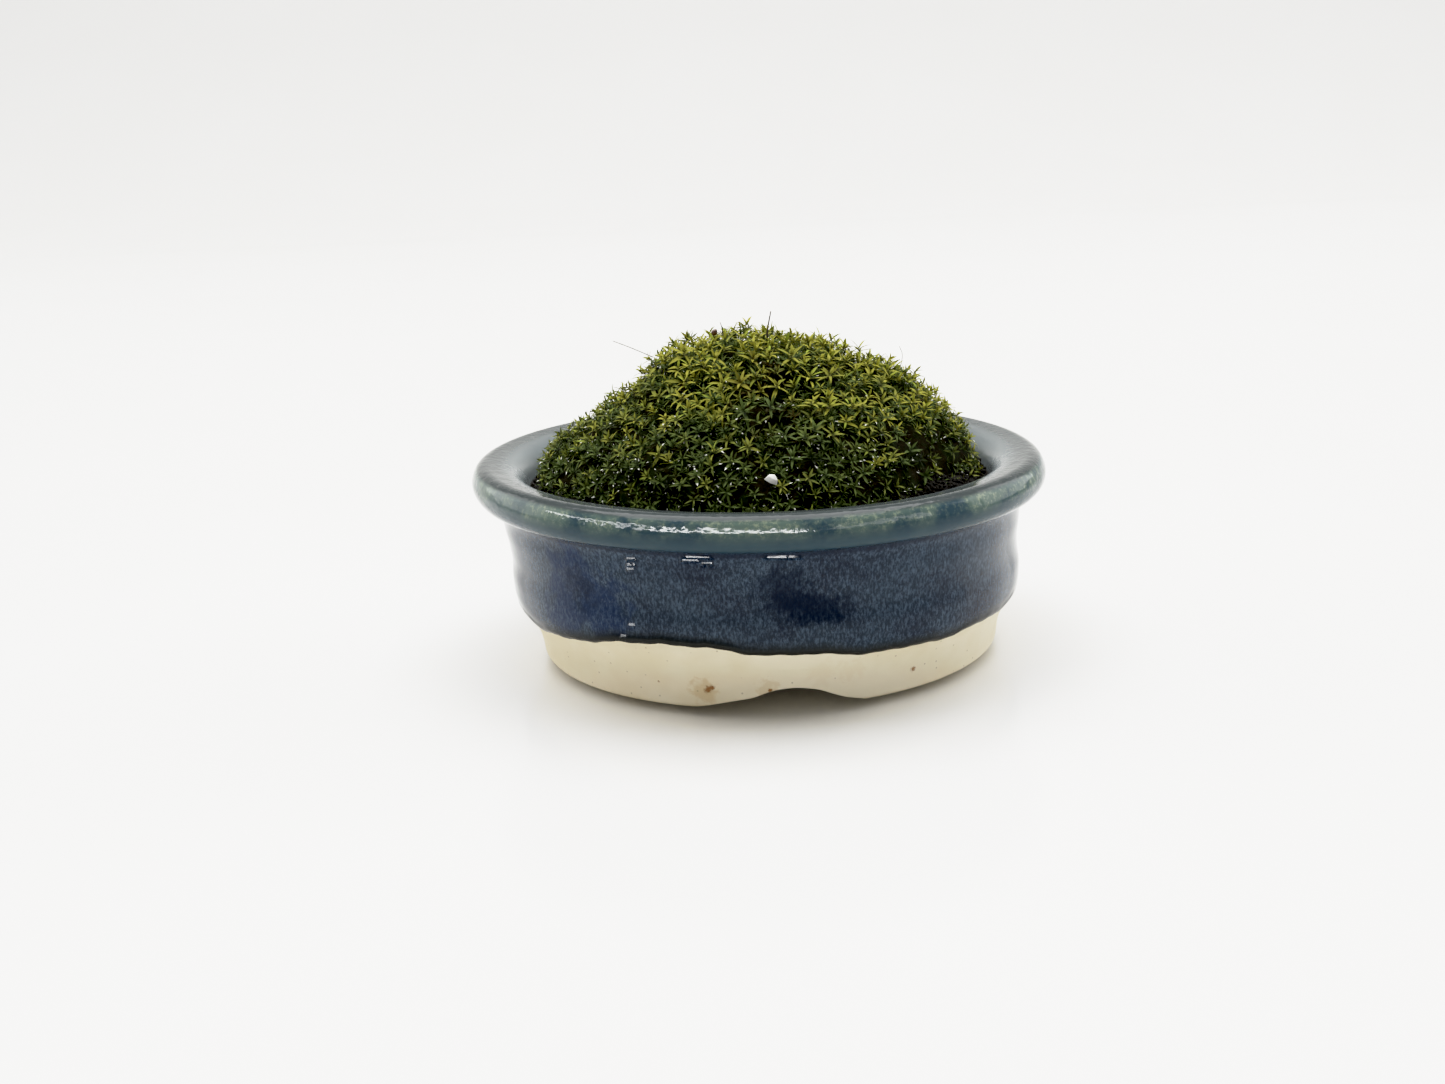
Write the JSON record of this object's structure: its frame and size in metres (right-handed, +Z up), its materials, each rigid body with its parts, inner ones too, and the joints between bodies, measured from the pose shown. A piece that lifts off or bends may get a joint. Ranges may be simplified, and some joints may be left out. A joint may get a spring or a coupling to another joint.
{
  "type": "moss cushion in a small glazed pot",
  "caption": "Domed cushion of star-leaved moss on a mound of soil, in a low round glazed pot with a rolled lip and a bare notched foot.",
  "frame": {"origin": "on the surface that the pot stands on, under the middle of its rim", "axes": "+Z up, out of the top of the moss; -Y towards the front, where one notch of the foot faces the camera; +X to the right"},
  "size_m": [0.08, 0.08, 0.0455],
  "materials": {
    "glazed_clay": "glossy cobalt blue glaze that breaks to grey green on the lip, over a bare cream foot",
    "damp_soil": "dark damp crumbly soil",
    "moss_green": "soft wet moss, yellow green at its tips and dark green in its hollows",
    "white_grit": "dry white chip"
  },
  "bodies": {
    "root": {"pot": "glazed_clay", "soil": "damp_soil", "moss_cushion": "moss_green", "white_grit": "white_grit"}
  },
  "joints": []
}
